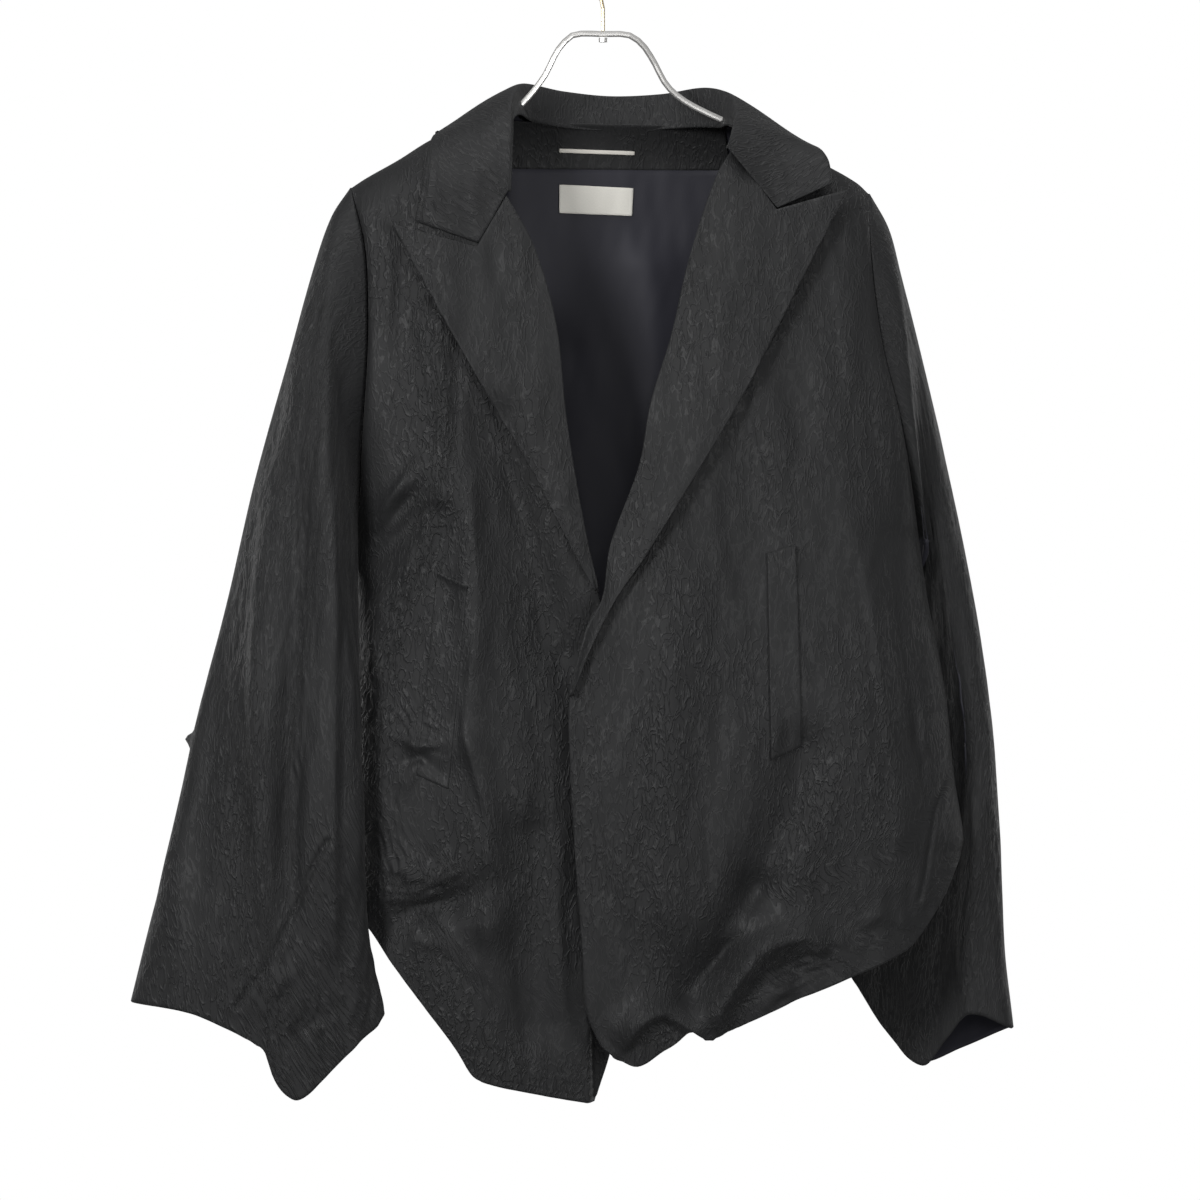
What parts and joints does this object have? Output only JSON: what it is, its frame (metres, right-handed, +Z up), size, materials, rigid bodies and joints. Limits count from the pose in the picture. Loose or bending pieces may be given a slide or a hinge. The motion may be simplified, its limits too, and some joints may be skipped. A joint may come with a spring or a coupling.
{
  "type": "kimono jacket on a hanger",
  "caption": "Wide jacquard jacket with kimono sleeves, peak lapels, turned-down collar and welt pockets, hung open on a rod hanger with a hook.",
  "frame": {"origin": "top of the inside of the hanger's hook, where it hangs on a rail", "axes": "+Z up along the hook's stem, front of the jacket towards -Y, +X to the viewer's right"},
  "size_m": [0.7213, 0.2674, 0.9491],
  "materials": {
    "jacquard": "black jacquard with a raised squiggle figure, soft sheen",
    "lining": "smooth navy-black lining, satin sheen",
    "label": "ivory woven tape, matt",
    "rod": "polished chrome",
    "hook": "thin brass-plated wire"
  },
  "bodies": {
    "root": {"front_left": "jacquard", "front_right": "jacquard", "back": "jacquard", "sleeve_left": "jacquard", "sleeve_right": "jacquard", "lapel_left": "jacquard", "lapel_right": "jacquard", "collar": "jacquard", "neck_facing": "jacquard", "back_lining": "lining", "neck_label": "label", "hang_loop": "label", "welt_right": "jacquard", "welt_left": "jacquard", "hanger_frame": "rod", "hanger_hook": "hook", "hanger_nut": "rod"}
  },
  "joints": []
}
